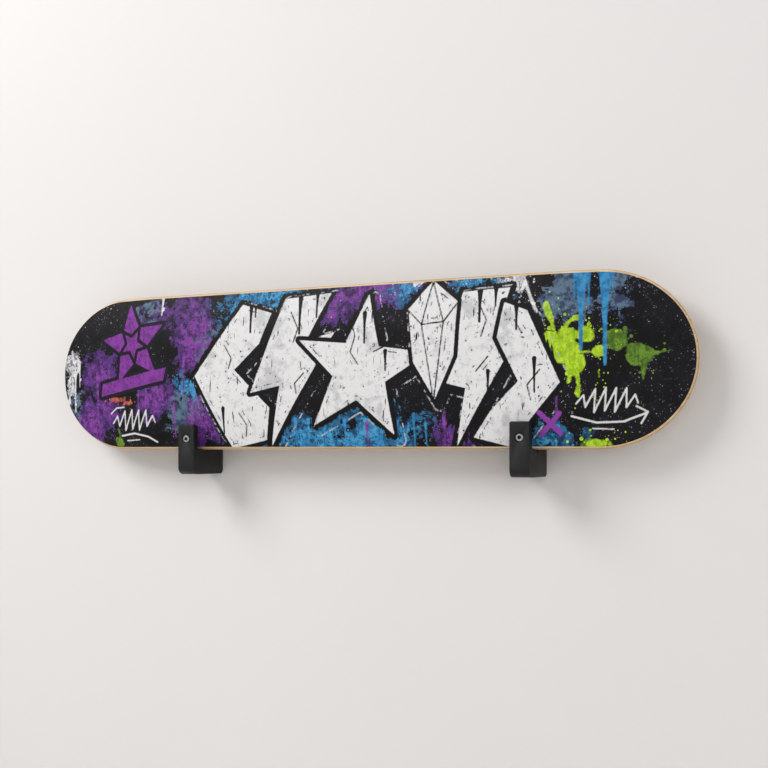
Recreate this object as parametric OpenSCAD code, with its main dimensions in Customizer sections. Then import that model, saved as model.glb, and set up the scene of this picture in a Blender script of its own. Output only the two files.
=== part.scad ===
// A bare skateboard deck standing on its rail in two wall brackets. Millimetres.
// X runs along the board, Z is up, the wall is the plane y = 0 and the room is at -Y.
// The origin is the centre of the four wall-screw holes.

/* [Deck] */
// Straight distance from nose tip to tail tip
deck_length = 813; // [700:1:900]
// Width from rail to rail
deck_width = 190.5; // [170:0.5:230]
// Thickness of one maple veneer
ply_thick = 1.55; // [1.3:0.05:1.9]
// Thickness of the printed film
film_thick = 0.15; // [0.1:0.05:0.4]
// Half-width of the flat strip down the middle
flat_half = 26; // [25:0.5:35]
// Radius of the concave, at the printed face
concave_radius = 304; // [240:1:600]
// How far the outermost veneers stop short of the rounded edge
edge_round = 2.6; // [1:0.1:3.5]

// How far the deck stands along X from the middle between the brackets
deck_offset = -15; // [-25:1:25]

/* [Kicks] */
// Distance from the board's middle to the start of each kick
kick_start = 250; // [245:1:290]
// Bend radius of the kick, at the printed face
kick_radius = 220; // [150:1:300]
// Angle of nose and tail towards the wall, in steps of 4.35 degrees
kick_steps = 2; // [1:1:3]
// How much larger the radius that blends rail into tip is than the tip's own
blend_step = 15; // [5:0.5:30]

/* [Truck holes] */
// Distance between the inner pairs of truck holes
wheelbase = 362; // [330:1:400]
// Hole spacing along the board
truck_hole_long = 53.8; // [50:0.1:64]
// Hole spacing across the board
truck_hole_wide = 41.3; // [38:0.1:45]
// Diameter of the truck holes
truck_hole_d = 5.5; // [5:0.1:6.5]

/* [Bracket] */
// Distance between the two brackets' middles
bracket_spacing = 420; // [380:1:460]
// Width of a bracket along the board
bracket_width = 22.4; // [16:0.2:40]
// Reach from the wall to the front of the lip
bracket_depth = 66; // [62:0.5:90]
// Height of the lip above the deck's lower rail
lip_height = 30; // [24:0.5:45]
// Thickness of the lip
lip_thick = 9; // [8:0.1:14]
// Height of the solid base below the deck's lower rail
base_height = 30; // [20:0.5:45]
// Outer bend radius at the front of the base
front_round = 10; // [4:0.5:16]
// Corner radius at the back of the base
back_round = 5; // [1:0.5:10]
// Thickness of the plate that lies on the wall
plate_thick = 7; // [5:0.5:12]
// Height of the wall plate's top above the deck's lower rail
plate_top = 86; // [80:1:110]
// Bevel along the lip's top edges
lip_bevel = 1.2; // [0.5:0.1:2]

/* [Wall screws] */
// Height of the lower wall screw above the deck's lower rail
wall_screw_low = 48; // [44:0.5:56]
// Vertical distance between the two wall screws of a bracket
wall_screw_pitch = 26; // [20:0.5:30]
// Diameter of the wall-screw holes
wall_screw_d = 4.8; // [4:0.1:6]
// Diameter of the countersinks
wall_sink_d = 9.6; // [8:0.1:12]

/* [Clamp] */
// Height of the clamp screw above the deck's lower rail
clamp_height = 12.8; // [10:0.1:16]
// Thread diameter of the clamp screw
screw_d = 5; // [4:0.5:6]
// Diameter of its head
head_d = 8.5; // [8:0.1:9]
// Height of its head
head_h = 5; // [4:0.1:5]
// Width across the flats of its hex socket
socket_af = 4; // [2.5:0.5:4]
// Diameter of the counterbore around the head
counterbore_d = 10; // [9.5:0.1:12]
// Outer diameter of the brass insert
insert_d = 7; // [6.6:0.1:8]
// Diameter of the pressure pad
pad_d = 12; // [9:0.5:16]
// Thickness of the pressure pad
pad_thick = 3.5; // [3.3:0.1:5]

/* [Liners] */
// Thickness of the strip under the rail
seat_liner = 2; // [1:0.1:3]
// Thickness of the strip behind the rail
back_liner = 1.5; // [1:0.1:3]

/* [Hidden] */
$fn = 96;
plies = 7;
gap = 0.3;
running = 0.05;
half_width = deck_width / 2;
deck_thick = film_thick + plies * ply_thick;
// Height of the deck's lower rail, and of its centre line
rail_z = -(wall_screw_low + wall_screw_pitch / 2);
deck_z = rail_z + half_width;
// One step of the kick. Its sine and cosine are exact decimals, so the bend's faces meet
kick_step = asin(0.07584);
kick_angle = kick_steps * kick_step;
// The reach of each bend, and of the straight kick after it
bend_reach = (kick_radius - deck_thick / 2) * sin(kick_angle);
kick_len = tidy((deck_length / 2 - kick_start - bend_reach) / cos(kick_angle));
// The outline of its end: two arcs that meet on a 3-4-5 line
blend_in = 0.6 * blend_step;
blend_radius = half_width + blend_in;
tip_radius = blend_radius - blend_step;
tip_centre = kick_len - tip_radius;
blend_centre = tip_centre - 0.8 * blend_step;
// Distances from the wall: lip, printed face, and the back of the rail
lip_back = bracket_depth - lip_thick;
face_out = lip_back - 2.5;
rear_radius = concave_radius - deck_thick;
rear_out = face_out - deck_thick - fall(rear_radius, half_width - edge_round);
block_out = rear_out - gap - back_liner;
floor_z = rail_z - gap - seat_liner;
// The clamp, measured out from the wall
clamp_z = rail_z + clamp_height;
pad_front = face_out - fall(concave_radius, half_width - clamp_height - pad_d / 2) + gap;
pad_rear = pad_front + pad_thick;
head_out = bracket_depth - 0.1;
sink_floor = head_out - head_h - gap;
collar_h = 1.2;
neck_h = 1.2;

// Rounds a size to a hundredth of a millimetre
function tidy(size) = round(size * 100) / 100;

// How far a concave of radius r falls back at distance w from the centre line
function fall(r, w) = r - sqrt(r * r - pow(w - flat_half, 2));

// How far a layer whose middle lies at this depth stops short of the rounded edge
function inset(depth) = tidy(edge_round * (1 - sqrt(1 - pow(2 * depth / deck_thick - 1, 2)))
    / (1 - sqrt(1 - pow(6 / 7, 2))));

// The part of a disc that lies between two directions from its centre
module slice(r, from, to) {
    intersection() {
        circle(r = r);
        polygon([[0, 0], 50 * from, 50 * (from + to), 50 * to]);
    }
}

// Turns its child about Z by a number of kick steps
module kicked(steps) {
    if (steps > 0) rotate([0, 0, kick_step]) kicked(steps - 1) children();
    else children();
}

// The part of a square corner outside a rounding of radius r, a little oversize
module corner_waste(r) {
    difference() {
        translate([-1, -1]) square([r + 1, r + 1]);
        translate([r, r]) circle(r = r);
    }
}

// Cross-section of a pressed layer: x is depth behind the printed face, y is across the board
module layer_section(near, far, half) {
    translate([near, -flat_half]) square([far - near, 2 * flat_half]);
    for (side = [-1, 1]) intersection() {
        translate([concave_radius, side * flat_half]) difference() {
            circle(r = concave_radius - near, $fn = 720);
            circle(r = concave_radius - far, $fn = 720);
        }
        translate([-1, side > 0 ? flat_half : -half])
            square([concave_radius / 2, half - flat_half]);
    }
}

// The outline of the board's end: x from the end of the bend to the tip, y across
module end_outline(short) {
    half = half_width - short;
    translate([-5, -half]) square([blend_centre + 5, 2 * half]);
    for (side = [0, 1]) mirror([0, side]) translate([blend_centre, -blend_in])
        slice(blend_radius - short, [4, 3], [0, 5]);
    translate([tip_centre, 0]) slice(tip_radius - short, [4, -3], [4, 3]);
}

// A pressed layer of the deck, with the middle of the printed face at the origin
module layer(near, far, short) {
    half = half_width - short;
    translate([-kick_start, 0, 0]) rotate([90, 0, 90])
        linear_extrude(2 * kick_start) layer_section(near, far, half);
    for (end = [0, 1]) mirror([end, 0, 0]) translate([kick_start, kick_radius, 0]) {
        // The bend, turned a little too far and cut square where the straight kick begins
        difference() {
            rotate([0, 0, -90]) rotate_extrude(angle = kick_angle + 4, $fn = 720)
                translate([kick_radius, 0]) mirror([1, 0]) layer_section(near, far, half);
            kicked(kick_steps) translate([0, -1.5 * kick_radius, -deck_width])
                cube([kick_radius, 1.4 * kick_radius, 2 * deck_width]);
        }
        kicked(kick_steps) translate([0, -kick_radius, 0]) intersection() {
            rotate([90, 0, 90]) linear_extrude(kick_len + 1) layer_section(near, far, half + 5);
            translate([0, concave_radius / 4, 0]) rotate([90, 0, 0])
                linear_extrude(concave_radius / 4 + 5) end_outline(short);
        }
    }
}

// The eight truck holes, right through the deck, about its middle
module truck_holes() {
    for (end = [-1, 1], along = [0, 1], across = [-1, 1])
        translate([end * (wheelbase / 2 + along * truck_hole_long), -1,
            across * truck_hole_wide / 2])
            rotate([-90, 0, 0]) cylinder(d = truck_hole_d, h = deck_thick + 2);
}

// Veneer n, counted from the printed face
module veneer(n) {
    near = film_thick + (n - 1) * ply_thick;
    translate([deck_offset, -face_out, deck_z]) difference() {
        layer(near, near + ply_thick, inset(near + ply_thick / 2));
        truck_holes();
    }
}

module graphic_film() {
    color("#26242b") translate([deck_offset, -face_out, deck_z])
        layer(0, film_thick, inset(film_thick + ply_thick / 2));
}

module ply_1() color("#dcbf8f") veneer(1);
module ply_2() color("#cfae7b") veneer(2);
module ply_3() color("#dcbf8f") veneer(3);
module ply_4() color("#cfae7b") veneer(4);
module ply_5() color("#dcbf8f") veneer(5);
module ply_6() color("#cfae7b") veneer(6);
module ply_7() color("#dcbf8f") veneer(7);

// Side view of a bracket: x is distance from the wall, y is height
module bracket_profile() {
    low = rail_z - base_height;
    lip_top = rail_z + lip_height;
    block_top = rail_z + lip_height - 4;
    difference() {
        polygon([[0, low], [bracket_depth, low], [bracket_depth, lip_top - lip_bevel],
            [bracket_depth - lip_bevel, lip_top], [lip_back + lip_bevel, lip_top],
            [lip_back, lip_top - lip_bevel], [lip_back, floor_z], [block_out, floor_z],
            [block_out, block_top - 6], [block_out - 6, block_top],
            [plate_thick, block_top + 8], [plate_thick, rail_z + plate_top - 2],
            [plate_thick - 2, rail_z + plate_top], [0, rail_z + plate_top]]);
        translate([bracket_depth, low]) mirror([1, 0]) corner_waste(front_round);
        translate([0, low]) corner_waste(back_round);
    }
}

// A bracket without its fittings, centred on x = 0
module bracket_body() {
    difference() {
        translate([-bracket_width / 2, 0, 0]) rotate([90, 0, 90])
            linear_extrude(bracket_width) mirror([1, 0]) bracket_profile();
        // Insert hole and counterbore of the clamp screw
        translate([0, -lip_back + 1, clamp_z]) rotate([90, 0, 0])
            cylinder(d = insert_d, h = lip_thick + 2);
        translate([0, -sink_floor, clamp_z]) rotate([90, 0, 0])
            cylinder(d = counterbore_d, h = lip_thick);
        // Wall-screw holes, countersunk from the front
        for (up = [0, 1]) translate([0, 0, (up - 0.5) * wall_screw_pitch]) rotate([90, 0, 0]) {
            translate([0, 0, -1]) cylinder(d = wall_screw_d, h = plate_thick + 2);
            translate([0, 0, plate_thick - (wall_sink_d - wall_screw_d) / 2])
                cylinder(d1 = wall_screw_d, d2 = wall_sink_d + 2,
                    h = (wall_sink_d - wall_screw_d) / 2 + 1);
        }
        // Small bevels on the lip's top corners and upright front edges
        for (side = [-1, 1]) {
            translate([side * bracket_width / 2, -lip_back + lip_thick / 2 - 6, rail_z + lip_height])
                rotate([0, 45, 0]) cube([2, 2 * lip_thick, 2], center = true);
            translate([side * bracket_width / 2, -bracket_depth, rail_z])
                rotate([0, 0, 45]) cube([0.8, 0.8, 3 * base_height], center = true);
        }
    }
}

// Brass insert with two gripping bands and a groove between them
module thread_insert() {
    outer = insert_d / 2;
    bore = screw_d / 2 + running;
    long = sink_floor - lip_back;
    translate([0, -lip_back, clamp_z]) rotate([90, 0, 0]) difference() {
        cylinder(r = outer, h = long);
        translate([0, 0, -1]) cylinder(r = bore, h = long + 2);
        translate([0, 0, long * 0.4]) difference() {
            cylinder(r = outer + 1, h = long * 0.2);
            translate([0, 0, -1]) cylinder(r = (outer + bore) / 2, h = long + 2);
        }
    }
}

// Socket-head screw whose necked tip snaps into the pad
module clamp_screw() {
    shank_end = pad_rear + gap;
    neck_end = pad_rear - neck_h;
    translate([0, 0, clamp_z]) rotate([90, 0, 0]) difference() {
        union() {
            translate([0, 0, head_out - head_h]) cylinder(d = head_d, h = head_h - 0.5);
            translate([0, 0, head_out - 0.5]) cylinder(d1 = head_d, d2 = head_d - 1, h = 0.5);
            translate([0, 0, shank_end]) cylinder(d = screw_d, h = head_out - head_h - shank_end);
            translate([0, 0, neck_end]) cylinder(r = 1.5, h = shank_end - neck_end);
            translate([0, 0, neck_end - collar_h]) cylinder(r = 2, h = collar_h);
        }
        translate([0, 0, head_out - head_h * 0.55])
            cylinder(r = socket_af / 2 / cos(30), h = head_h, $fn = 6);
    }
}

// Rubber pad with a stepped pocket for the screw's tip
module pressure_pad() {
    pocket = pad_rear - neck_h;
    translate([0, 0, clamp_z]) rotate([90, 0, 0]) difference() {
        union() {
            translate([0, 0, pad_front]) cylinder(d1 = pad_d - 0.8, d2 = pad_d, h = 0.4);
            translate([0, 0, pad_front + 0.4]) cylinder(d = pad_d, h = pad_thick - 0.4);
        }
        translate([0, 0, pocket]) cylinder(r = 1.5 + running, h = pad_thick);
        translate([0, 0, pocket - collar_h - running])
            cylinder(r = 2 + running, h = collar_h + 2 * running);
    }
}

module seat_strip() {
    back = block_out + back_liner;
    translate([1 - bracket_width / 2, -lip_back, floor_z])
        cube([bracket_width - 2, lip_back - back, seat_liner]);
}

module back_strip() {
    translate([1 - bracket_width / 2, -block_out - back_liner, floor_z])
        cube([bracket_width - 2, back_liner, lip_height - 12 + rail_z - floor_z]);
}

module at_side(side) {
    translate([side * bracket_spacing / 2, 0, 0]) children();
}

module left_bracket_body() color("#2b2b2b") at_side(-1) bracket_body();
module right_bracket_body() color("#2b2b2b") at_side(1) bracket_body();
module left_thread_insert() color("#b5893f") at_side(-1) thread_insert();
module right_thread_insert() color("#b5893f") at_side(1) thread_insert();
module left_clamp_screw() color("#c8c8c6") at_side(-1) clamp_screw();
module right_clamp_screw() color("#c8c8c6") at_side(1) clamp_screw();
module left_pressure_pad() color("#3a3a3a") at_side(-1) pressure_pad();
module right_pressure_pad() color("#3a3a3a") at_side(1) pressure_pad();
module left_seat_liner() color("#444444") at_side(-1) seat_strip();
module right_seat_liner() color("#444444") at_side(1) seat_strip();
module left_back_liner() color("#444444") at_side(-1) back_strip();
module right_back_liner() color("#444444") at_side(1) back_strip();

graphic_film();
ply_1();
ply_2();
ply_3();
ply_4();
ply_5();
ply_6();
ply_7();
left_bracket_body();
right_bracket_body();
left_thread_insert();
right_thread_insert();
left_clamp_screw();
right_clamp_screw();
left_pressure_pad();
right_pressure_pad();
left_seat_liner();
right_seat_liner();
left_back_liner();
right_back_liner();
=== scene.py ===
"""Visual model of a bare skateboard deck that stands on its rail in two wall brackets.

Lengths are in millimetres inside the shape functions and in metres in Blender. The deck's printed
film and its seven veneers are pressed from flat grids, the fittings are bevelled from the CAD
pieces, and a plain wall, floor and soft lights stand around them.
"""

import math

import bpy
import numpy as np
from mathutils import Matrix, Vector


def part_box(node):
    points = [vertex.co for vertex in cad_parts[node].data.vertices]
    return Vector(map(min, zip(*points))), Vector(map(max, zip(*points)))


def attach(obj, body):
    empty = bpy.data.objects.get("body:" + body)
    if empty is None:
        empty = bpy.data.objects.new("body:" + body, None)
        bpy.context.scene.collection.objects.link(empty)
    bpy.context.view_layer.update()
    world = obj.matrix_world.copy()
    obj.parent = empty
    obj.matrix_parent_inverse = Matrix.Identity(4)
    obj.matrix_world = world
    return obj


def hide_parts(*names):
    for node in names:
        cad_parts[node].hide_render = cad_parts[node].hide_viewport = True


bl_info = {
    "name": "Wall-hung skateboard deck",
    "version": (1, 0, 0),
    "blender": (4, 5, 0),
    "location": "View3D > Sidebar > Deck",
    "description": "Builds the visible pieces of a skateboard deck in wall brackets",
    "category": "Object",
}

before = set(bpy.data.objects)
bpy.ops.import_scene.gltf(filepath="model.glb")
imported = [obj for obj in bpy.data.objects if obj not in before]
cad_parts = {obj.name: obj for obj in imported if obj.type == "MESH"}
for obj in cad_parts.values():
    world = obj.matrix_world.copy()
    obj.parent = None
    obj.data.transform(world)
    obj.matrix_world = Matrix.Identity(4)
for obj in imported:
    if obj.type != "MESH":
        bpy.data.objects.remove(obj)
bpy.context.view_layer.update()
MM = 0.001


# ---------------------------------------------------------------- small helpers


def linear(code, alpha=1.0):
    """An sRGB hex colour as the linear RGBA that shaders take."""
    parts = [int(code[i : i + 2], 16) / 255 for i in (1, 3, 5)]
    return (
        *(p / 12.92 if p <= 0.04045 else ((p + 0.055) / 1.055) ** 2.4 for p in parts),
        alpha,
    )


def add_node(material, kind, inputs=None, **settings):
    """Adds a shader node with its properties, and fills or links its inputs."""
    tree = material.node_tree
    made = tree.nodes.new(kind)
    for name, value in settings.items():
        setattr(made, name, value)
    for key, value in (inputs or {}).items():
        if isinstance(value, bpy.types.NodeSocket):
            tree.links.new(value, made.inputs[key])
        else:
            made.inputs[key].default_value = value
    return made


def new_material(name):
    """An empty node material with its output node."""
    material = bpy.data.materials.new(name)
    material.use_nodes = True
    material.node_tree.nodes.clear()
    return material


def finish_material(material, shader):
    add_node(material, "ShaderNodeOutputMaterial", {"Surface": shader.outputs[0]})
    return material


def object_pattern(material, stretch=(1, 1, 1)):
    """Object coordinates in metres, stretched along each axis for a grained pattern."""
    place = add_node(material, "ShaderNodeTexCoord").outputs["Object"]
    return add_node(
        material, "ShaderNodeMapping", {"Vector": place, "Scale": stretch}
    ).outputs[0]


def noise(material, vector, size_mm, detail, **more):
    """A noise value whose features are about this size."""
    inputs = {"Vector": vector, "Scale": per_metre(size_mm), "Detail": detail, **more}
    return add_node(material, "ShaderNodeTexNoise", inputs).outputs["Fac"]


def remap(material, value, start, stop, low, high):
    """Straight change from low at start to high at stop."""
    return add_node(
        material, "ShaderNodeMapRange",
        {"Value": value, "From Min": start, "From Max": stop, "To Min": low, "To Max": high},
    ).outputs[0]


def blend(material, share, below, above):
    """A mix of two colours."""
    return add_node(
        material, "ShaderNodeMix", {"Factor": share, "A": below, "B": above}, data_type="RGBA"
    ).outputs["Result"]


def relief(material, height, strength, distance_mm):
    """Fine surface relief from a height value."""
    return add_node(
        material, "ShaderNodeBump",
        {"Height": height, "Strength": strength, "Distance": distance_mm * MM},
    ).outputs[0]


def per_metre(size_mm):
    """The texture scale that gives features of about this size."""
    return 1 / MM / size_mm


def select_only(obj):
    """Leaves obj alone selected and active, in object mode."""
    if bpy.context.object and bpy.context.object.mode != "OBJECT":
        bpy.ops.object.mode_set(mode="OBJECT")
    bpy.ops.object.select_all(action="DESELECT")
    obj.hide_set(False)
    obj.select_set(True)
    bpy.context.view_layer.objects.active = obj


def dress(obj, body, material, replaced):
    """Sets the body a piece rides on and its finish, and hides the CAD node it stands for."""
    obj.data.materials.clear()
    obj.data.materials.append(material)
    for face in obj.data.polygons:
        face.material_index = 0
    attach(obj, body)
    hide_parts(replaced)
    return obj


# ---------------------------------------------------------------- sizes and colours


class DeckSizes(bpy.types.PropertyGroup):
    width: bpy.props.FloatProperty(
        name="Width", description="From rail to rail", default=0.1905, unit="LENGTH"
    )
    length: bpy.props.FloatProperty(
        name="Length", description="From nose tip to tail tip", default=0.813, unit="LENGTH"
    )
    veneer: bpy.props.FloatProperty(
        name="Veneer", description="Thickness of one maple layer", default=0.00155, unit="LENGTH"
    )
    film: bpy.props.FloatProperty(
        name="Film", description="Thickness of the printed film", default=0.00015, unit="LENGTH"
    )
    flat_half: bpy.props.FloatProperty(
        name="Flat half-width", description="Half of the flat strip down the middle",
        default=0.026, unit="LENGTH",
    )
    concave: bpy.props.FloatProperty(
        name="Concave radius", description="At the printed face", default=0.304, unit="LENGTH"
    )
    kick_start: bpy.props.FloatProperty(
        name="Kick start", description="From the middle to each kick", default=0.25, unit="LENGTH"
    )
    kick_radius: bpy.props.FloatProperty(
        name="Kick radius", description="Bend radius of the kick", default=0.22, unit="LENGTH"
    )
    kick_angle: bpy.props.FloatProperty(
        name="Kick angle", description="Turn of nose and tail towards the wall",
        default=2 * math.asin(0.07584), subtype="ANGLE",
    )
    face_out: bpy.props.FloatProperty(
        name="Face distance", description="From the wall to the printed face",
        default=0.0545, unit="LENGTH",
    )
    centre_height: bpy.props.FloatProperty(
        name="Centre height", description="Height of the board's centre line",
        default=0.03425, unit="LENGTH",
    )
    offset: bpy.props.FloatProperty(
        name="Offset", description="Where the board's middle stands along X",
        default=-0.015, unit="LENGTH",
    )


class FinishColours(bpy.types.PropertyGroup):
    ink_base: bpy.props.FloatVectorProperty(
        name="Ground", description="Near-black printed ground", subtype="COLOR", size=4,
        default=linear("#08080a"), min=0, max=1,
    )
    ink_white: bpy.props.FloatVectorProperty(
        name="White", description="Printed white of the big shapes", subtype="COLOR", size=4,
        default=linear("#e4e3e2"), min=0, max=1,
    )
    purple: bpy.props.FloatVectorProperty(
        name="Purple", description="Printed purple spray", subtype="COLOR", size=4,
        default=linear("#71308a"), min=0, max=1,
    )
    blue: bpy.props.FloatVectorProperty(
        name="Blue", description="Printed blue spray", subtype="COLOR", size=4,
        default=linear("#2f83b8"), min=0, max=1,
    )
    lime: bpy.props.FloatVectorProperty(
        name="Lime", description="Printed lime splashes", subtype="COLOR", size=4,
        default=linear("#9fc81c"), min=0, max=1,
    )
    nylon: bpy.props.FloatVectorProperty(
        name="Nylon", description="Black nylon of the brackets", subtype="COLOR", size=4,
        default=linear("#0a0a0b"), min=0, max=1,
    )
    maple: bpy.props.FloatVectorProperty(
        name="Maple", description="Sealed maple veneer", subtype="COLOR", size=4,
        default=linear("#ecd6ae"), min=0, max=1,
    )


# ---------------------------------------------------------------- shape of the pressed board


PLIES = 7
# Each tip's outline is a blend arc that runs into a smaller tip arc. The blend arc's centre lies
# this far below and behind the tip arc's, in millimetres, and the rest makes them meet smoothly.
BLEND_DROP = 9.0
BLEND_BACK = 12
TIP_SMALLER = math.hypot(BLEND_DROP, BLEND_BACK)
TIP_CORNER = math.atan2(BLEND_DROP, BLEND_BACK)
# Truck holes, in millimetres: along the board from its middle, across it, and their radius
HOLES_ALONG = (181.0, 234.8)
HOLES_ACROSS = (-20.65, 20.65)
HOLE_RADIUS = 2.75
DRILL_LENGTH = 30
DRILL_MIDDLE = -50
SMOOTH_BELOW = math.radians(32)


class Press:
    """The board's pressed shape, in millimetres: its outline, its concave and its kicks."""

    def __init__(self, sizes):
        self.half = sizes.width / MM / 2
        self.veneer = sizes.veneer / MM
        self.film = sizes.film / MM
        self.thick = self.film + PLIES * self.veneer
        self.flat = sizes.flat_half / MM
        self.concave = sizes.concave / MM
        self.start = sizes.kick_start / MM
        self.bend = sizes.kick_radius / MM
        self.turn = sizes.kick_angle
        self.face = sizes.face_out / MM
        self.height = sizes.centre_height / MM
        self.middle = sizes.offset / MM
        reach = (self.bend - self.thick / 2) * math.sin(self.turn)
        kick = (sizes.length / MM / 2 - self.start - reach) / math.cos(self.turn)
        self.blend_radius = self.half + BLEND_DROP
        self.tip_radius = self.blend_radius - TIP_SMALLER
        self.tip_centre = kick - self.tip_radius
        self.blend_centre = self.tip_centre - BLEND_BACK
        self.before = self.start + self.bend * self.turn
        # Outline length of the straight rail, the blend arc and the tip arc
        self.straight = self.before + self.blend_centre
        self.blend_arc = self.blend_radius * (math.pi / 2 - TIP_CORNER)
        self.tip_arc = self.tip_radius * TIP_CORNER
        self.rim = self.straight + self.blend_arc + self.tip_arc

    def outline(self, share, short):
        """Distance along the board and half-width, at a share of the way from middle to tip."""
        length = share * self.rim
        along, wide = length, self.half - short
        arc = length > self.straight
        angle = math.pi / 2 - (length - self.straight) / self.blend_radius
        radius = self.blend_radius - short
        along = np.where(
            arc, self.before + self.blend_centre + radius * np.cos(angle), along
        )
        wide = np.where(arc, radius * np.sin(angle) - BLEND_DROP, wide)
        tip = length > self.straight + self.blend_arc
        angle = TIP_CORNER - (length - self.straight - self.blend_arc) / self.tip_radius
        angle = np.maximum(angle, 0)
        radius = self.tip_radius - short
        along = np.where(tip, self.before + self.tip_centre + radius * np.cos(angle), along)
        wide = np.where(tip, radius * np.sin(angle), wide)
        return along, wide

    def place(self, along, across, depth):
        """A developed point of the board, as x, y and z in millimetres."""
        radius = self.concave - depth
        out = np.maximum(np.abs(across) - self.flat, 0)
        fall = self.concave - np.sqrt(radius**2 - out**2)
        sign = np.where(along < 0, -1.0, 1.0)
        past = np.abs(along) - self.start
        angle = np.clip(past / self.bend, 0, self.turn)
        beyond = np.maximum(past - self.bend * self.turn, 0)
        arm = self.bend - fall
        x = np.where(
            past <= 0,
            np.abs(along),
            self.start + arm * np.sin(angle) + beyond * np.cos(angle),
        )
        y = np.where(
            past <= 0,
            fall,
            self.bend - arm * np.cos(angle) + beyond * np.sin(angle),
        )
        return self.middle + sign * x, y - self.face, self.height + across


# How far the rounded edge stops short of the full outline, at each face between layers
EDGE_SHORT = (3.3, 1.3, 0.45, 0.05, 0.05, 0.45, 1.3, 3.3)


def pressed_sheet(name, press, columns, rows, near, far, short_near, short_far, finer=0):
    """A flat grid, thickened and pressed to the board's shape between two depths.

    Each vertex keeps its distance along and across the board in two layers, until taken_layer
    reads and drops them. The near face is cut finer by as many cuts as asked."""
    bpy.ops.object.select_all(action="DESELECT")
    bpy.ops.mesh.primitive_grid_add(x_subdivisions=columns, y_subdivisions=rows, size=2)
    sheet = bpy.context.object
    sheet.name = sheet.data.name = name
    bpy.ops.object.mode_set(mode="EDIT")
    bpy.ops.mesh.select_all(action="SELECT")
    bpy.ops.mesh.extrude_region_move(TRANSFORM_OT_translate={"value": (0, 0, 1)})
    bpy.ops.object.mode_set(mode="OBJECT")
    if finer:
        for face in sheet.data.polygons:
            face.select = face.center.z < 0.1
        bpy.ops.object.mode_set(mode="EDIT")
        bpy.ops.mesh.select_mode(type="FACE")
        bpy.ops.mesh.subdivide(number_cuts=finer, smoothness=0)
        bpy.ops.object.mode_set(mode="OBJECT")
    flat = np.zeros(len(sheet.data.vertices) * 3)
    sheet.data.vertices.foreach_get("co", flat)
    flat = flat.reshape(-1, 3)
    back = flat[:, 2] > 0.5
    share = np.clip(np.abs(flat[:, 0]), 0, 1)
    short = np.where(back, short_far, short_near)
    along, wide = press.outline(share, short)
    along = np.where(flat[:, 0] < 0, -along, along)
    across = flat[:, 1] * wide
    spot = np.stack(press.place(along, across, np.where(back, far, near)), axis=1) * MM
    sheet.data.vertices.foreach_set("co", spot.astype(np.float32).ravel())
    for label, value in (("along", along), ("across", across)):
        layer = sheet.data.attributes.new(label, "FLOAT", "POINT")
        layer.data.foreach_set("value", value.astype(np.float32))
    select_only(sheet)
    bpy.ops.object.mode_set(mode="EDIT")
    bpy.ops.mesh.select_all(action="SELECT")
    bpy.ops.mesh.remove_doubles(threshold=0.00001)
    bpy.ops.mesh.dissolve_degenerate(threshold=0.000005)
    bpy.ops.mesh.normals_make_consistent(inside=False)
    bpy.ops.object.mode_set(mode="OBJECT")
    return sheet


def taken_layer(mesh, label):
    """The values of a layer, which is dropped from the mesh."""
    values = np.zeros(len(mesh.vertices), np.float32)
    mesh.attributes[label].data.foreach_get("value", values)
    mesh.attributes.remove(mesh.attributes[label])
    return values.astype(float)


# ---------------------------------------------------------------- printed picture

# A distance beyond every shape, in millimetres
FAR = 1e3


class Picture:
    """Signed distances in millimetres from the shapes of the print, negative inside them."""

    def __init__(self, along, across):
        self.s = along
        self.w = across

    def segment(self, a, b):
        dx, dy = b[0] - a[0], b[1] - a[1]
        t = ((self.s - a[0]) * dx + (self.w - a[1]) * dy) / (dx * dx + dy * dy)
        t = np.clip(t, 0, 1)
        return np.hypot(self.s - a[0] - t * dx, self.w - a[1] - t * dy)

    def stroke(self, points, width):
        """A line of even width through the points."""
        found = [self.segment(a, b) for a, b in zip(points, points[1:])]
        return np.min(found, axis=0) - width / 2

    def polygon(self, points):
        """A closed shape with straight sides."""
        nearest = np.full_like(self.s, FAR)
        inside = np.zeros(len(self.s), bool)
        for a, b in zip(points, points[1:] + points[:1]):
            nearest = np.minimum(nearest, self.segment(a, b))
            if a[1] != b[1]:
                crossing = a[0] + (self.w - a[1]) * (b[0] - a[0]) / (b[1] - a[1])
                inside ^= ((a[1] > self.w) != (b[1] > self.w)) & (self.s < crossing)
        return np.where(inside, -nearest, nearest)

    def blob(self, s, w, reach_s, reach_w):
        """An oval of paint."""
        round_off = np.hypot((self.s - s) / reach_s, (self.w - w) / reach_w)
        return (round_off - 1) * min(reach_s, reach_w)

    def drip(self, s, top, end, wide, thin):
        """A run of paint that narrows from its top and hangs down to a bead."""
        t = np.clip((top - self.w) / (top - end), 0, 1)
        width = thin + (wide - thin) * (1 - t) ** 3
        gone = np.maximum(np.maximum(self.w - top, end - self.w), 0)
        return np.hypot(self.s - s, gone) - width


def scrawl(s, w, length, height, strokes):
    """One jagged line whose swings grow and die away, like a spring drawn by hand."""
    line = []
    for i in range(strokes + 1):
        t = i / strokes
        tall = height / 2 * (0.35 + 0.75 * math.sin(math.pi * t) + 0.12 * math.sin(5 * i))
        swing = tall if i % 2 else -tall
        line.append((s + length * t + 0.28 * swing, w + swing))
    return line


def star(s, w, points, outer, inner, turn):
    """The corners of a star about a point."""
    corners = []
    for i in range(2 * points):
        angle = math.radians(turn) + math.pi * i / points
        radius = inner if i % 2 else outer
        corners.append((s + radius * math.sin(angle), w + radius * math.cos(angle)))
    return corners


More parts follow.
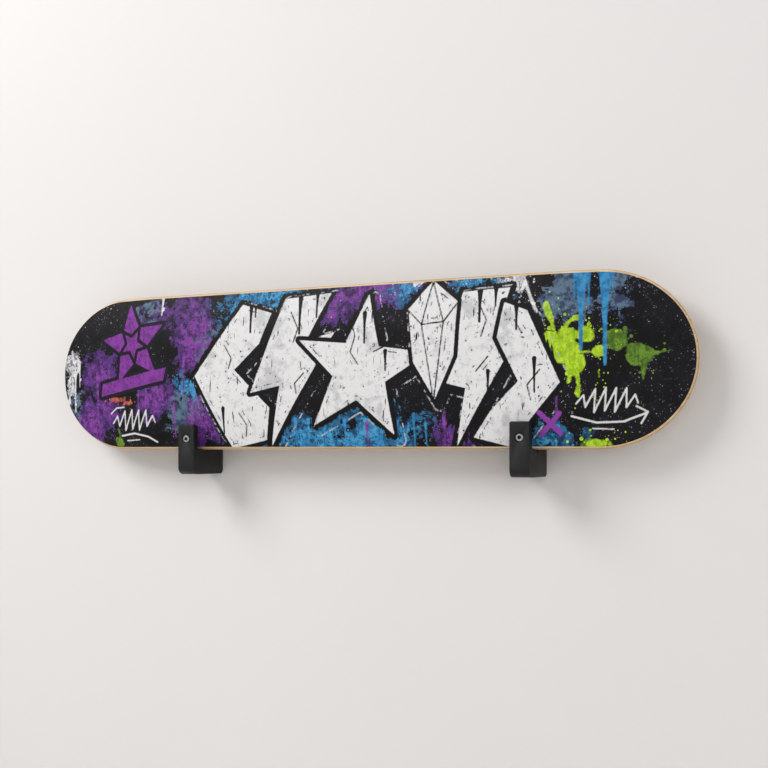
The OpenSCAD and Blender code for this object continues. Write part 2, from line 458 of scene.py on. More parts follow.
# Big white shapes, each lying on the ones before it, with the chips and facets cut in each
SHARDS = (
    # Broad chevron that points left
    (
        [(-190, -6), (-124, 78), (-84, 66), (-100, 30), (-134, 0), (-86, -46), (-92, -84),
         (-140, -94)],
        [[(-148, 30), (-138, 14), (-142, 2)], [(-128, -52), (-118, -66), (-120, -80)]],
    ),
    # Tall bolt
    (
        [(-66, 82), (-6, 86), (-36, 32), (0, 40), (-86, -92), (-72, -20), (-112, -28)],
        [[(-58, 66), (-48, 46), (-54, 30)], [(-40, -6), (-52, -18), (-50, -30)]],
    ),
    # Second bolt, leaning the other way
    (
        [(156, 78), (210, 80), (198, 38), (224, 34), (148, -92), (160, -28), (128, -20)],
        [[(176, 62), (184, 46), (178, 28)], [(186, 6), (172, -10)]],
    ),
    # Broad chevron that points right
    (
        [(204, 64), (230, 54), (266, -24), (208, -92), (168, -82), (188, -54), (220, -22),
         (196, 26)],
        [[(244, -10), (230, -26), (234, -42)], [(216, 44), (224, 30)]],
    ),
    # Five-pointed star
    (
        star(32, -4, 5, 86, 35, 7),
        [[(20, 58), (26, 34), (20, 16), (30, 2)], [(70, 24), (50, 16)]],
    ),
    # Cut gem
    (
        [(120, 93), (150, 68), (146, 8), (124, -40), (98, 2), (92, 62)],
        [[(92, 60), (108, 44), (134, 46), (150, 66)], [(108, 44), (122, -38)],
         [(134, 46), (123, -38)], [(108, 44), (120, 92), (134, 46)]],
    ),
)
# In millimetres: black line round the shapes, cut lines in them, gap where one covers another
OUTLINE = 6.5
CUT_WIDTH = 1.7
COVER_GAP = OUTLINE - 1.5
# Range that the stored distances are held to
STORED = (-200, 400)


def paint_fields(along, across):
    """The fields that the film's material turns into ink, as named vectors."""
    p = Picture(along, across)
    shards = [p.polygon(shape) for shape, _ in SHARDS]
    white = np.full_like(p.s, FAR)
    for i, distance in enumerate(shards):
        cuts = np.min([p.stroke(line, CUT_WIDTH) for line in SHARDS[i][1]], axis=0)
        distance = np.maximum(distance, -cuts)
        for later in shards[i + 1 :]:
            distance = np.maximum(distance, COVER_GAP - later)
        white = np.minimum(white, distance)
    nearest = np.min(shards, axis=0)
    # Black ink that ran down over the white
    black_runs = np.min(
        [
            p.drip(-112, 78, 44, 3.2, 1.3), p.drip(-106, 76, 62, 2.4, 1.0),
            p.drip(-46, 84, 40, 3.4, 1.4), p.drip(-24, 85, 58, 2.4, 1.1),
            p.drip(38, 60, 26, 2.8, 1.2), p.drip(176, 78, 44, 3.4, 1.4),
            p.drip(194, 79, 60, 2.6, 1.1), p.drip(218, 62, 34, 3.0, 1.2),
            p.drip(-150, -46, -76, 2.6, 1.1), p.drip(186, -10, -36, 2.4, 1.1),
            p.drip(64, 16, -6, 2.6, 1.1), p.drip(238, 2, -34, 2.6, 1.1),
        ],
        axis=0,
    )
    # Thin stray line that runs beside the black outline, shifted down and to the right
    shifted = Picture(along - 6, across + 5)
    echo = np.min([shifted.polygon(shape) for shape, _ in SHARDS], axis=0)
    echo = np.abs(echo - OUTLINE - 1) - 0.9

    badge_star = p.polygon(star(-284, 36, 5, 52, 23, -9))
    badge_core = p.polygon(star(-284, 36, 5, 24, 11, 27))
    badge_bar = p.polygon([(-338, -28), (-236, -10), (-232, 6), (-336, -12)])
    badge = np.minimum(np.maximum(badge_star, 2.2 - np.abs(badge_core)), badge_bar)
    badge_edge = np.minimum(badge_star, badge_bar) - 4.5
    cross = np.minimum(
        p.stroke([(243, -56), (266, -78)], 5.5), p.stroke([(265, -57), (245, -79)], 5.5)
    )

    left_tag = np.min(
        [
            p.stroke(scrawl(-318, -58, 70, 24, 12), 2.0),
            p.stroke([(-306, -78), (-284, -75), (-262, -79), (-248, -86)], 2.3),
            p.stroke([(-298, -84), (-276, -83)], 1.7),
            p.stroke([(-322, -50), (-312, -43), (-298, -42)], 1.7),
        ],
        axis=0,
    )
    right_tag = np.min(
        [
            p.stroke(scrawl(284, -43, 64, 24, 12), 2.0),
            p.stroke([(278, -60), (304, -67), (332, -66), (356, -57)], 2.3),
            p.stroke([(345, -50), (357, -56), (350, -68)], 2.1),
            p.stroke([(300, -73), (322, -74)], 1.7),
        ],
        axis=0,
    )
    tag = np.minimum(left_tag, right_tag)

    purple = np.min(
        [
            p.blob(-345, 2, 20, 13), p.blob(-358, -62, 17, 19), p.blob(-190, 34, 20, 44),
            p.blob(-178, -52, 22, 26), p.blob(-232, 74, 20, 10), p.blob(44, 86, 46, 12),
            p.blob(-8, 76, 18, 12), p.blob(156, -84, 16, 12), p.blob(-244, -30, 18, 13),
            p.blob(110, 82, 14, 9), p.blob(-328, -44, 10, 10),
        ],
        axis=0,
    )
    blue = np.min(
        [
            p.blob(-108, 74, 40, 19), p.blob(-62, 84, 24, 12), p.blob(174, 82, 24, 13),
            p.blob(-34, -84, 42, 12), p.blob(30, -80, 34, 13), p.blob(84, -74, 16, 13),
            p.blob(-196, -18, 14, 12), p.blob(252, -86, 16, 7), p.blob(90, 84, 12, 8),
        ],
        axis=0,
    )
    lime = np.min(
        [
            p.blob(256, 16, 14, 14), p.blob(272, 8, 15, 13), p.blob(281, -5, 10, 12),
            p.blob(272, 26, 12, 7), p.blob(294, 26, 9, 7), p.blob(307, 7, 8, 6),
            p.stroke([(264, 20), (256, 42), (250, 60)], 4.4),
            p.stroke([(266, 24), (276, 40), (286, 46)], 2.8),
            p.stroke([(276, 6), (292, 8), (306, 6)], 2.4),
            p.stroke([(254, 20), (242, 32)], 3.2), p.stroke([(290, 26), (316, 33)], 1.8),
            p.drip(285, -6, -38, 4, 1.7), p.drip(307, 7, -30, 3, 1.4),
            p.drip(276, -8, -24, 3, 1.4), p.blob(306, -90, 13, 5),
        ],
        axis=0,
    )
    pale = np.min(
        [
            p.blob(-388, 14, 13, 16), p.blob(-393, -14, 8, 20), p.blob(118, 92, 22, 6),
            p.blob(212, 84, 17, 10),
        ],
        axis=0,
    )
    green = np.min(
        [
            p.blob(324, 20, 13, 12), p.blob(347, 4, 15, 13), p.blob(-311, -86, 6, 7),
            p.blob(296, -90, 12, 6), p.stroke([(352, 4), (380, 7)], 1.4),
            p.drip(352, -4, -22, 4, 1.2), p.stroke([(-311, -70), (-308, -92)], 2.5),
        ],
        axis=0,
    )
    pink = np.min([p.blob(-310, -32, 14, 4), p.blob(-290, -37, 8, 3)], axis=0)
    blue_runs = np.min(
        [
            p.drip(288, 99, 11, 9, 2.0), p.drip(313, 99, -6, 9, 2.0), p.drip(281, 99, 66, 4, 1.2),
            p.drip(296, 99, 60, 3, 1.1), p.drip(321, 99, 72, 3, 1.0), p.drip(-128, 70, 22, 4, 1.4),
            p.drip(-96, 70, 34, 4, 1.2), p.drip(-14, -56, -92, 3, 1.4),
            p.drip(58, -50, -90, 3, 1.4),
            p.drip(-52, -60, -90, 2.6, 1.3), p.drip(-40, -70, -94, 2.2, 1.1),
            p.drip(12, -62, -88, 2.4, 1.2), p.drip(74, -40, -86, 2.6, 1.2),
            p.drip(98, -56, -92, 2.4, 1.2), p.drip(112, -66, -90, 2.0, 1.0),
        ],
        axis=0,
    )
    pale_runs = np.min(
        [
            p.drip(-240, 98, 71, 3.5, 1.3), p.drip(-386, 4, -46, 3, 1.3),
            p.drip(-378, 14, -14, 2, 1.0), p.stroke([(226, 86), (234, 66), (240, 52)], 4),
        ],
        axis=0,
    )
    purple_runs = np.min(
        [
            p.drip(-262, -14, -46, 2.4, 1.2), p.drip(-250, -12, -60, 2.4, 1.1),
            p.drip(-345, 0, -88, 3, 0.9), p.drip(-274, -16, -52, 2, 1.0),
            p.drip(-206, 20, -30, 2.6, 1.1), p.drip(262, -30, -62, 2, 1.0),
            p.drip(-220, -40, -80, 2.4, 1.2), p.drip(-196, -56, -90, 2.4, 1.1),
            p.drip(40, -66, -92, 2.4, 1.2), p.drip(134, -58, -90, 2.6, 1.2),
        ],
        axis=0,
    )
    mist = np.min(
        [
            p.blob(270, 72, 22, 20), p.blob(-168, 4, 22, 40), p.blob(-206, -50, 22, 24),
            p.blob(326, 62, 10, 18), p.blob(-390, -30, 10, 16), p.blob(-250, 78, 18, 12),
        ],
        axis=0,
    )
    return {
        "ink": (white, nearest - OUTLINE, echo),
        "marks": (badge, badge_edge, cross),
        "spray": (purple, blue, lime),
        "stains": (pale, green, pink),
        "tags": (tag, pale_runs, mist),
        "runs": (blue_runs, purple_runs, black_runs),
    }


# ---------------------------------------------------------------- materials


def film_material(colours):
    """Heat-transfer film, screen printed: inks under a satin clear coat."""
    m = new_material("screen_printed_transfer_film")
    place = object_pattern(m)
    hanging = object_pattern(m, (1, 1, 0.12))

    def grain(size_mm, vector=place, detail=3.0, rough=0.6):
        return noise(m, vector, size_mm, detail, Roughness=rough)

    def math_node(operation, a, b=0.0, c=0.0):
        return add_node(
            m, "ShaderNodeMath", {0: a, 1: b, 2: c}, operation=operation
        ).outputs[0]

    def fade(value, start, stop):
        """1 at or below start, 0 at or above stop."""
        return add_node(
            m, "ShaderNodeMapRange",
            {"Value": value, "From Min": start, "From Max": stop, "To Min": 1.0, "To Max": 0.0},
            interpolation_type="SMOOTHSTEP",
        ).outputs[0]

    def field(name):
        vector = add_node(m, "ShaderNodeAttribute", attribute_name=name).outputs["Vector"]
        return add_node(m, "ShaderNodeSeparateXYZ", {"Vector": vector}).outputs

    def mix(share, below, above):
        return blend(m, share, below, above)

    def fuzzy(distance, amount):
        """A distance made uneven by the fine grit, by this many millimetres."""
        return math_node("MULTIPLY_ADD", math_node("SUBTRACT", gritty, 0.5), amount, distance)

    def droplets(size_mm, keep, vector=place):
        """1 inside scattered round drops; keep is the share of cells that hold one."""
        cells = add_node(
            m, "ShaderNodeTexVoronoi", {"Vector": vector, "Scale": per_metre(size_mm)},
        )
        chance = add_node(m, "ShaderNodeSeparateColor", {"Color": cells.outputs["Color"]})
        size = math_node("MULTIPLY_ADD", chance.outputs[1], 0.22, 0.1)
        near = math_node("SUBTRACT", cells.outputs["Distance"], size)
        kept = math_node("LESS_THAN", chance.outputs[0], keep)
        return math_node("MULTIPLY", fade(near, -0.03, 0.03), kept)

    ink, marks = field("ink"), field("marks")
    spray, stains, tags = field("spray"), field("stains"), field("tags")
    hung = field("runs")
    cloud = grain(34, detail=5.0)
    ragged = grain(9, detail=6.0, rough=0.7)
    gritty = grain(2.2, detail=4.0, rough=0.7)
    runs = grain(5, vector=hanging, detail=4.0, rough=0.65)
    torn = grain(11, detail=3.5, rough=0.58)
    holes = grain(7.5, detail=3.0, rough=0.6)
    big_drops = droplets(8.5, 0.42)
    small_drops = droplets(3.6, 0.4)
    fine_specks = droplets(2.1, 0.3)

    def spread(distance, wobble, reach):
        """A paint edge made ragged by noise, with drops thrown past it."""
        rough_edge = math_node("MULTIPLY_ADD", math_node("SUBTRACT", torn, 0.5), wobble, distance)
        rough_edge = math_node(
            "MULTIPLY_ADD", math_node("SUBTRACT", cloud, 0.5), wobble * 1.3, rough_edge
        )
        with_big = math_node("MULTIPLY_ADD", big_drops, -reach, rough_edge)
        return math_node("MULTIPLY_ADD", small_drops, -reach * 1.2, with_big)

    ground = mix(fade(cloud, 0.4, 0.62), colours.ink_base, linear("#141318"))
    # Broken overspray: small patches of dim colour and grey dust all over the ground
    dust = math_node("MULTIPLY", fade(gritty, 0.4, 0.45), fade(ragged, 0.36, 0.47))
    colour = mix(math_node("MULTIPLY", dust, 0.3), ground, linear("#5c5762"))
    speck_share = math_node("MULTIPLY", fine_specks, fade(cloud, 0.44, 0.6))
    colour = mix(math_node("MULTIPLY", speck_share, 0.8), colour, linear("#9d99a1"))
    colour = mix(
        math_node("MULTIPLY", small_drops, fade(ragged, 0.36, 0.44)), colour, linear("#cbc8cc")
    )

    def haze(distance, reach, shade, light):
        """Overspray that thins out from a patch of paint in ragged flecks."""
        broken = math_node(
            "MULTIPLY_ADD", math_node("SUBTRACT", torn, 0.5), 70,
            math_node("MULTIPLY_ADD", math_node("SUBTRACT", cloud, 0.5), 80, distance),
        )
        broken = fuzzy(broken, 34)
        tint = mix(fade(ragged, 0.42, 0.56), light, shade)
        return mix(fade(broken, reach - 2, reach + 2), colour, tint)

    colour = haze(spray[0], 12, linear("#35204a"), linear("#57347a"))
    colour = haze(spray[1], 8, linear("#173c5c"), linear("#2f6a94"))
    colour = haze(tags[2], 2, linear("#343d5c"), linear("#5d7488"))
    # Where paint holds on: 0 in worn streaks and holes
    holds = math_node(
        "MULTIPLY",
        fade(math_node("MULTIPLY_ADD", runs, 1.0, gritty), 1.03, 1.07),
        fade(holes, 0.55, 0.562),
    )
    # Solid paint. Each row: distance, two tints, raggedness and throw of drops in millimetres,
    # and the share that wears away
    for distance, shade, light, wobble, reach, wear in (
        (spray[0], colours.purple, linear("#84439a"), 46, 11, 0.92),
        (spray[1], colours.blue, linear("#4b9fcb"), 34, 10, 0.92),
        (stains[0], linear("#b9b8bb"), linear("#e2e1e1"), 20, 9, 0.7),
        (stains[1], linear("#4f7022"), linear("#6d9430"), 10, 9, 0.35),
        (stains[2], linear("#b8485e"), linear("#cf7a48"), 8, 4, 0.4),
        (spray[2], colours.lime, linear("#bfe234"), 9, 11, 0.25),
        (hung[1], linear("#6a2f80"), linear("#8d4aa3"), 1.6, 3, 0.3),
        (hung[0], linear("#2c74a6"), linear("#3f93c8"), 1.2, 2, 0.12),
        (tags[1], linear("#c9c8ca"), linear("#ecebea"), 1.6, 2, 0.2),
    ):
        paint = mix(fade(ragged, 0.42, 0.56), light, shade)
        share = fade(spread(distance, wobble, reach), -1.2, 0.8)
        share = math_node("MULTIPLY", share, math_node("MULTIPLY_ADD", holds, wear, 1 - wear))
        colour = mix(share, colour, paint)
    # Badge: dark edge, then purple with scuffs
    edge_noise = fuzzy(marks[1], 2.4)
    colour = mix(fade(edge_noise, -0.6, 0.6), colour, linear("#17131c"))
    badge = fuzzy(marks[0], 2.0)
    badge_paint = mix(fade(ragged, 0.36, 0.5), linear("#873b9c"), linear("#72308a"))
    badge_share = math_node(
        "MULTIPLY", fade(badge, -0.6, 0.6), math_node("MULTIPLY_ADD", holds, 0.35, 0.65)
    )
    colour = mix(badge_share, colour, badge_paint)
    # Black outline of the big shapes, with runs hanging from it, and the thin stray line
    hang = math_node("MULTIPLY_ADD", math_node("SUBTRACT", runs, 0.5), 16, ink[1])
    colour = mix(fade(hang, -1.0, 0.6), colour, linear("#0c0b0e"))
    stray = fuzzy(ink[2], 1.6)
    colour = mix(
        math_node("MULTIPLY", fade(stray, -0.5, 0.5), fade(ragged, 0.44, 0.5)),
        colour, linear("#b9b7bb"),
    )
    # White with grey grime, black flecks, an inner line, hanging scratches and black runs
    body = fuzzy(ink[0], 1.6)
    white = mix(fade(ragged, 0.34, 0.52), colours.ink_white, linear("#c9c8c9"))
    white = mix(
        math_node("MULTIPLY", fade(cloud, 0.34, 0.46), 0.45), white, linear("#9c9ba0")
    )
    flecks = math_node("MULTIPLY", small_drops, fade(ragged, 0.42, 0.5))
    white = mix(flecks, white, linear("#1a191c"))
    inner = math_node("ABSOLUTE", math_node("ADD", body, 4.6))
    inner = math_node("MULTIPLY", fade(inner, 0.3, 0.7), fade(ragged, 0.44, 0.47))
    white = mix(inner, white, linear("#2a292d"))
    scratch = fade(grain(3.4, vector=hanging, detail=2.0), 0.31, 0.325)
    white = mix(scratch, white, linear("#242327"))
    ran = fuzzy(hung[2], 1.2)
    white = mix(fade(ran, -0.4, 0.4), white, linear("#131215"))
    colour = mix(fade(body, -0.5, 0.5), colour, white)
    # Tags and the cross lie on top
    line = fuzzy(tags[0], 1.0)
    colour = mix(fade(line, -0.5, 0.4), colour, linear("#dddcda"))
    crossed = fuzzy(marks[2], 2.0)
    colour = mix(fade(crossed, -0.5, 0.5), colour, linear("#8b3fa0"))

    shader = add_node(
        m, "ShaderNodeBsdfPrincipled",
        {"Base Color": colour, "Roughness": remap(m, gritty, 0.3, 0.7, 0.46, 0.6),
         "Normal": relief(m, gritty, 0.12, 0.2), "IOR": 1.46, "Specular IOR Level": 0.2},
    )
    return finish_material(m, shader)


def maple_material(name, colours, dark):
    """Rotary-cut maple under clear sealer: long faint grain with pale and brown streaks."""
    m = new_material(name)
    # Grain runs along the board: each pattern is stretched along X
    grain = noise(
        m, object_pattern(m, (0.03, 1, 1)), 3.5, 6.0, Roughness=0.62, Distortion=0.4
    )
    broad = noise(m, object_pattern(m, (0.12, 1, 1)), 45, 3.0)
    fine = noise(m, object_pattern(m, (0.08, 1, 1)), 0.9, 2.0)
    ramp = add_node(m, "ShaderNodeValToRGB", {"Fac": grain})
    low, high = ramp.color_ramp.elements
    low.position, high.position = 0.38, 0.6
    low.color = linear("#a87a4a" if dark else "#cfa975")
    high.color = linear("#c59a66") if dark else tuple(colours.maple)
    broad_share = remap(m, broad, 0.4, 0.65, 0.0, 0.6)
    wide = blend(m, broad_share, ramp.outputs[0], linear("#a98052" if dark else "#dcbd8c"))
    pores = remap(m, fine, 0.26, 0.38, 0.72, 1.0)
    shader = add_node(
        m, "ShaderNodeBsdfPrincipled",
        {"Base Color": blend(m, pores, linear("#a9824f"), wide), "Roughness": 0.46,
         "Normal": relief(m, grain, 0.15, 0.3), "IOR": 1.5, "Coat Weight": 0.15,
         "Coat Roughness": 0.35},
    )
    return finish_material(m, shader)


def nylon_material(colours):
    """Glass-filled nylon, injection moulded against a fine-grained tool: an even matte black."""
    m = new_material("moulded_black_nylon")
    place = object_pattern(m)
    tool_grain = noise(m, place, 0.6, 3.0, Roughness=0.6)
    smear = noise(m, place, 18, 4.0)
    shader = add_node(
        m, "ShaderNodeBsdfPrincipled",
        {"Base Color": blend(m, smear, colours.nylon, linear("#121213")),
         "Roughness": remap(m, smear, 0.3, 0.7, 0.48, 0.62),
         "Normal": relief(m, tool_grain, 0.25, 0.1), "IOR": 1.53, "Specular IOR Level": 0.35},
    )
    return finish_material(m, shader)


def steel_material(name, light, dark, metallic):
    """Zinc-plated steel, cold headed and turned: bright, with faint cloudy wear. With dark colours
    it is the painted shade inside a screw's socket.
    """
    m = new_material(name)
    wear = noise(m, object_pattern(m), 0.8, 3.0)
    shader = add_node(
        m, "ShaderNodeBsdfPrincipled",
        {"Base Color": blend(m, wear, linear(light), linear(dark)), "Metallic": metallic,
         "Roughness": remap(m, wear, 0.3, 0.7, 0.22, 0.36)},
    )
    return finish_material(m, shader)


def brass_material():
    """Brass, turned and pressed in: yellow metal with fine tool marks."""
    m = new_material("turned_brass")
    marks = noise(m, object_pattern(m, (1, 12, 1)), 3, 2.0)
    shader = add_node(
        m, "ShaderNodeBsdfPrincipled",
        {"Base Color": blend(m, marks, linear("#c9a25c"), linear("#b08a45")), "Metallic": 1.0,
         "Roughness": remap(m, marks, 0, 1, 0.2, 0.4)},
    )
    return finish_material(m, shader)


def rubber_material(name, code, grain_mm):
    """Nitrile rubber, moulded or cut from sheet: dull black with a slightly open skin."""
    m = new_material(name)
    skin = noise(m, object_pattern(m), grain_mm, 4.0)
    shader = add_node(
        m, "ShaderNodeBsdfPrincipled",
        {"Base Color": blend(m, skin, linear(code), linear("#2c2c2d")),
         "Roughness": remap(m, skin, 0, 1, 0.7, 0.9), "Normal": relief(m, skin, 0.3, 0.2),
         "IOR": 1.52},
    )
    return finish_material(m, shader)


def wall_material(name, code):
    """Emulsion paint, rolled. It is clear from behind, so that it never hides the object."""
    m = new_material(name)
    place = object_pattern(m)
    soft = noise(m, place, 500, 2.0)
    nap = noise(m, place, 4, 4.0)
    paint = add_node(
        m, "ShaderNodeBsdfPrincipled",
        {"Base Color": blend(m, soft, linear(code), linear("#ebe8e6")), "Roughness": 0.9,
         "Normal": relief(m, nap, 0.06, 0.5)},
    )
    clear = add_node(m, "ShaderNodeBsdfTransparent")
    behind = add_node(m, "ShaderNodeNewGeometry").outputs["Backfacing"]
    shader = add_node(
        m, "ShaderNodeMixShader", {0: behind, 1: paint.outputs[0], 2: clear.outputs[0]}
    )
    return finish_material(m, shader)


# ---------------------------------------------------------------- operators


def cutters(press):
    """One mesh of eight level drills for the truck holes."""
    bpy.ops.object.select_all(action="DESELECT")
    drills = []
    for end in (-1, 1):
        for along in HOLES_ALONG:
            for across in HOLES_ACROSS:
                bpy.ops.mesh.primitive_cylinder_add(
                    vertices=40, radius=HOLE_RADIUS * MM, depth=DRILL_LENGTH * MM,
                    location=(
                        (press.middle + end * along) * MM,
                        DRILL_MIDDLE * MM,
                        (press.height + across) * MM,
                    ),
                    rotation=(math.pi / 2, 0, 0),
                )
                drills.append(bpy.context.object)
    for drill in drills:
        drill.select_set(True)
    bpy.context.view_layer.objects.active = drills[0]
    bpy.ops.object.join()
    bpy.ops.object.transform_apply(location=True, rotation=True, scale=True)
    return bpy.context.object


class DECK_OT_veneers(bpy.types.Operator):
    """Press the seven maple veneers and drill the truck holes"""

    bl_idname = "deck.veneers"
    bl_label = "Maple veneers"

    def execute(self, context):
        scene = context.scene
        press = Press(scene.deck_sizes)
        finishes = [
            maple_material("pressed_maple_light", scene.finish_colours, False),
            maple_material("pressed_maple_dark", scene.finish_colours, True),
        ]
        drills = cutters(press)
        for n in range(PLIES):
            near = press.film + n * press.veneer
            sheet = pressed_sheet(
                f"maple_veneer_{n + 1}", press, 168, 24, near, near + press.veneer,
                EDGE_SHORT[n], EDGE_SHORT[n + 1],
            )
            for label in ("along", "across"):
                taken_layer(sheet.data, label)
            cut = sheet.modifiers.new("Truck holes", "BOOLEAN")
            cut.operation, cut.object, cut.solver = "DIFFERENCE", drills, "EXACT"
            select_only(sheet)
            bpy.ops.object.modifier_apply(modifier=cut.name)
            bpy.ops.object.shade_smooth_by_angle(angle=SMOOTH_BELOW)
            dress(sheet, "deck", finishes[n % 2], f"ply_{n + 1}")
        bpy.data.objects.remove(drills)
        return {"FINISHED"}


class DECK_OT_film(bpy.types.Operator):
    """Press the printed film and lay the picture on it"""

    bl_idname = "deck.film"
    bl_label = "Printed film"

    def execute(self, context):
        scene = context.scene
        press = Press(scene.deck_sizes)
        sheet = pressed_sheet(
            "printed_film", press, 204, 46, 0.0, press.film,
            EDGE_SHORT[0] - 0.1, EDGE_SHORT[0] - 0.1, finer=2,
        )
        mesh = sheet.data
        along, across = taken_layer(mesh, "along"), taken_layer(mesh, "across")
        for name, parts in paint_fields(along, across).items():
            layer = mesh.attributes.new(name, "FLOAT_VECTOR", "POINT")
            layer.data.foreach_set(
                "vector", np.clip(np.stack(parts, axis=1), *STORED).astype(np.float32).ravel()
            )
        select_only(sheet)
        bpy.ops.object.shade_smooth_by_angle(angle=SMOOTH_BELOW)
        dress(sheet, "deck", film_material(scene.finish_colours), "graphic_film")
        return {"FINISHED"}


def softened(node, name, width_mm, segments):
    """A copy of a CAD piece, merged, freed of inner edges and given small rounded edges."""
    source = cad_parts[node]
    piece = bpy.data.objects.new(name, source.data.copy())
    piece.data.name = name
    bpy.context.scene.collection.objects.link(piece)
    select_only(piece)
    bpy.ops.object.mode_set(mode="EDIT")
    bpy.ops.mesh.select_all(action="SELECT")
    bpy.ops.mesh.remove_doubles(threshold=0.000005)
    bpy.ops.mesh.dissolve_limited(angle_limit=math.radians(1))
    bpy.ops.object.mode_set(mode="OBJECT")
    bevel = piece.modifiers.new("Edges", "BEVEL")
    bevel.width, bevel.segments = width_mm * MM, segments
    bevel.limit_method, bevel.angle_limit = "ANGLE", math.radians(35)
    bevel.use_clamp_overlap = True
    bpy.ops.object.modifier_apply(modifier=bevel.name)
    bpy.ops.object.shade_smooth_by_angle(angle=SMOOTH_BELOW)
    return piece


class DECK_OT_brackets(bpy.types.Operator):
    """Soften the edges of the two moulded brackets"""

    bl_idname = "deck.brackets"
    bl_label = "Brackets"

    def execute(self, context):
        finish = nylon_material(context.scene.finish_colours)
        for side in ("left", "right"):
            piece = softened(f"{side}_bracket_body", f"{side}_bracket", 0.45, 2)
            dress(piece, "brackets", finish, f"{side}_bracket_body")
        return {"FINISHED"}


# Where the screw's hex socket lies, whose faces are painted dark as shade, in millimetres: round
# its axis and below its head
SOCKET_RADIUS = 2.36
SOCKET_FROM, SOCKET_TO = 0.2, 3.2


class DECK_OT_clamps(bpy.types.Operator):
    """Clamp screws with their brass inserts and rubber pads"""

    bl_idname = "deck.clamps"
    bl_label = "Clamps"

    def execute(self, context):
        steel = steel_material("turned_zinc_plated_steel", "#d2d2cf", "#bcbdbe", 1.0)
        # Dark steel for the faces inside the hex socket: painted shade in the recess
        socket_shade_steel = steel_material("socket_painted_shade_steel", "#2c2b2a", "#1c1c1c", 0.6)
        brass = brass_material()
        rubber = rubber_material("moulded_pad_rubber", "#1c1c1c", 0.8)
        for side in ("left", "right"):
            piece = softened(f"{side}_clamp_screw", f"{side}_screw", 0.15, 2)
            dress(piece, f"{side}_screw", steel, f"{side}_clamp_screw")
            piece.data.materials.append(socket_shade_steel)
            low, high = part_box(f"{side}_clamp_screw")
            axis_x, axis_z = (low.x + high.x) / 2, (low.z + high.z) / 2
            # Faces inside the hex socket take the dark steel, a painted shade
            for face in piece.data.polygons:
                spot = face.center
                away = math.hypot(spot.x - axis_x, spot.z - axis_z)
                in_socket = low.y + SOCKET_FROM * MM < spot.y < low.y + SOCKET_TO * MM
                if away < SOCKET_RADIUS * MM and in_socket:
                    face.material_index = 1
            piece = softened(f"{side}_thread_insert", f"{side}_insert", 0.1, 1)
            dress(piece, "brackets", brass, f"{side}_thread_insert")
            piece = softened(f"{side}_pressure_pad", f"{side}_pad", 0.2, 2)
            dress(piece, f"{side}_pad", rubber, f"{side}_pressure_pad")
        return {"FINISHED"}


class DECK_OT_liners(bpy.types.Operator):
    """Rubber strips that the rail rests on"""

    bl_idname = "deck.liners"
    bl_label = "Liners"

    def execute(self, context):
        rubber = rubber_material("die_cut_liner_rubber", "#242424", 1.2)
        for side in ("left", "right"):
            for place in ("seat", "back"):
                piece = softened(f"{side}_{place}_liner", f"{side}_{place}_strip", 0.25, 2)
                dress(piece, "brackets", rubber, f"{side}_{place}_liner")
        return {"FINISHED"}


# Stage, in metres: its planes, then each light's name, place, size and watts
STAGE_SIZE = 8
WALL_Y = 0.003
FLOOR_Z = -0.95
LIGHTS = (
    ("window_light", (-1.5, -1.7, 1.6), 1.3, 46),
    ("room_fill", (1.9, -2.1, 0.5), 2.4, 16),
    ("back_fill", (0.9, 1.7, 1.3), 2.0, 60),
    ("back_low_fill", (-1.6, 1.5, 0.4), 1.8, 18),
)
SKY_STRENGTH = 0.5
# The camera stands level, turned to the left, and its picture is shifted up
CAMERA_PLACE = (0.5806, -1.2471, -0.061)
CAMERA_TURN = math.radians(24.08)
CAMERA_LENS, SENSOR_WIDTH = 54.27, 36
CAMERA_SHIFT = 0.0853


def area_light(name, place, size, power):
    """A soft white square light that faces the origin."""
    bpy.ops.object.light_add(type="AREA", location=place)
    light = bpy.context.object
    light.name = name
    light.data.shape, light.data.size, light.data.energy = "SQUARE", size, power
    light.rotation_euler = (-Vector(place)).to_track_quat("-Z", "Y").to_euler()


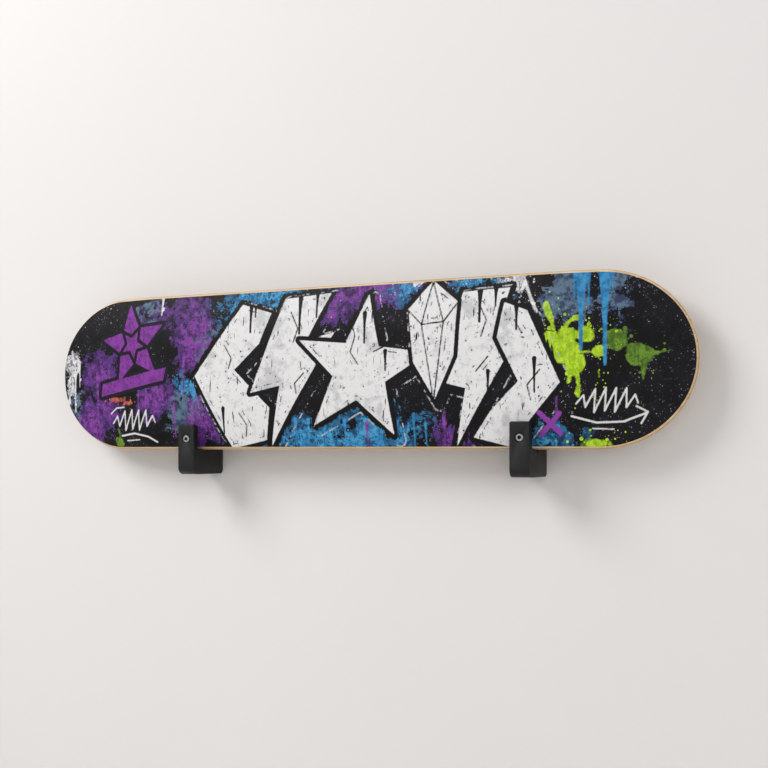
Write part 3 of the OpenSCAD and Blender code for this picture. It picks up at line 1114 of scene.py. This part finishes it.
class DECK_OT_stage(bpy.types.Operator):
    """Plain wall and floor, soft lights and the camera"""

    bl_idname = "deck.stage"
    bl_label = "Stage"

    def execute(self, context):
        scene = context.scene
        bpy.ops.mesh.primitive_plane_add(
            size=STAGE_SIZE, location=(0, WALL_Y, 1.2), rotation=(math.pi / 2, 0, 0)
        )
        wall = bpy.context.object
        wall.name = "stage_wall"
        bpy.ops.mesh.primitive_plane_add(size=STAGE_SIZE, location=(0, -1.0, FLOOR_Z))
        floor = bpy.context.object
        floor.name = "stage_floor"
        for flat in (wall, floor):
            select_only(flat)
            bpy.ops.object.transform_apply(location=True, rotation=True, scale=True)
        wall.data.materials.append(wall_material("rolled_wall_paint", "#e6e3e1"))
        floor.data.materials.append(wall_material("plain_pale_floor", "#d8d5d2"))

        for name, place, size, power in LIGHTS:
            area_light(name, place, size, power)
        world = bpy.data.worlds.new("soft_room")
        world.use_nodes = True
        sky = world.node_tree.nodes["Background"]
        sky.inputs[0].default_value = linear("#eff1f3")
        sky.inputs[1].default_value = SKY_STRENGTH
        scene.world = world
        scene.view_settings.view_transform = "Standard"

        bpy.ops.object.camera_add(location=CAMERA_PLACE)
        camera = bpy.context.object
        camera.name = "room_camera"
        look = Vector((-math.sin(CAMERA_TURN), math.cos(CAMERA_TURN), 0))
        camera.rotation_euler = look.to_track_quat("-Z", "Y").to_euler()
        camera.data.lens, camera.data.sensor_width = CAMERA_LENS, SENSOR_WIDTH
        camera.data.shift_y = CAMERA_SHIFT
        scene.camera = camera
        return {"FINISHED"}


class DECK_PT_panel(bpy.types.Panel):
    """Sidebar list of the deck's pieces"""

    bl_label = "Skateboard deck"
    bl_idname = "DECK_PT_panel"
    bl_space_type = "VIEW_3D"
    bl_region_type = "UI"
    bl_category = "Deck"

    def draw(self, context):
        for step in STEPS:
            self.layout.operator(step.bl_idname)
        for group in (context.scene.deck_sizes, context.scene.finish_colours):
            for name in group.__annotations__:
                self.layout.prop(group, name)


STEPS = (
    DECK_OT_veneers, DECK_OT_film, DECK_OT_brackets, DECK_OT_clamps, DECK_OT_liners,
    DECK_OT_stage,
)
CLASSES = (DeckSizes, FinishColours, *STEPS, DECK_PT_panel)


def register():
    for cls in CLASSES:
        bpy.utils.register_class(cls)
    bpy.types.Scene.deck_sizes = bpy.props.PointerProperty(type=DeckSizes)
    bpy.types.Scene.finish_colours = bpy.props.PointerProperty(type=FinishColours)


def unregister():
    del bpy.types.Scene.finish_colours
    del bpy.types.Scene.deck_sizes
    for cls in reversed(CLASSES):
        bpy.utils.unregister_class(cls)


def main():
    """Builds every piece in order."""
    register()
    bpy.ops.deck.veneers()
    bpy.ops.deck.film()
    bpy.ops.deck.brackets()
    bpy.ops.deck.clamps()
    bpy.ops.deck.liners()
    bpy.ops.deck.stage()


if __name__ == "__main__":
    main()
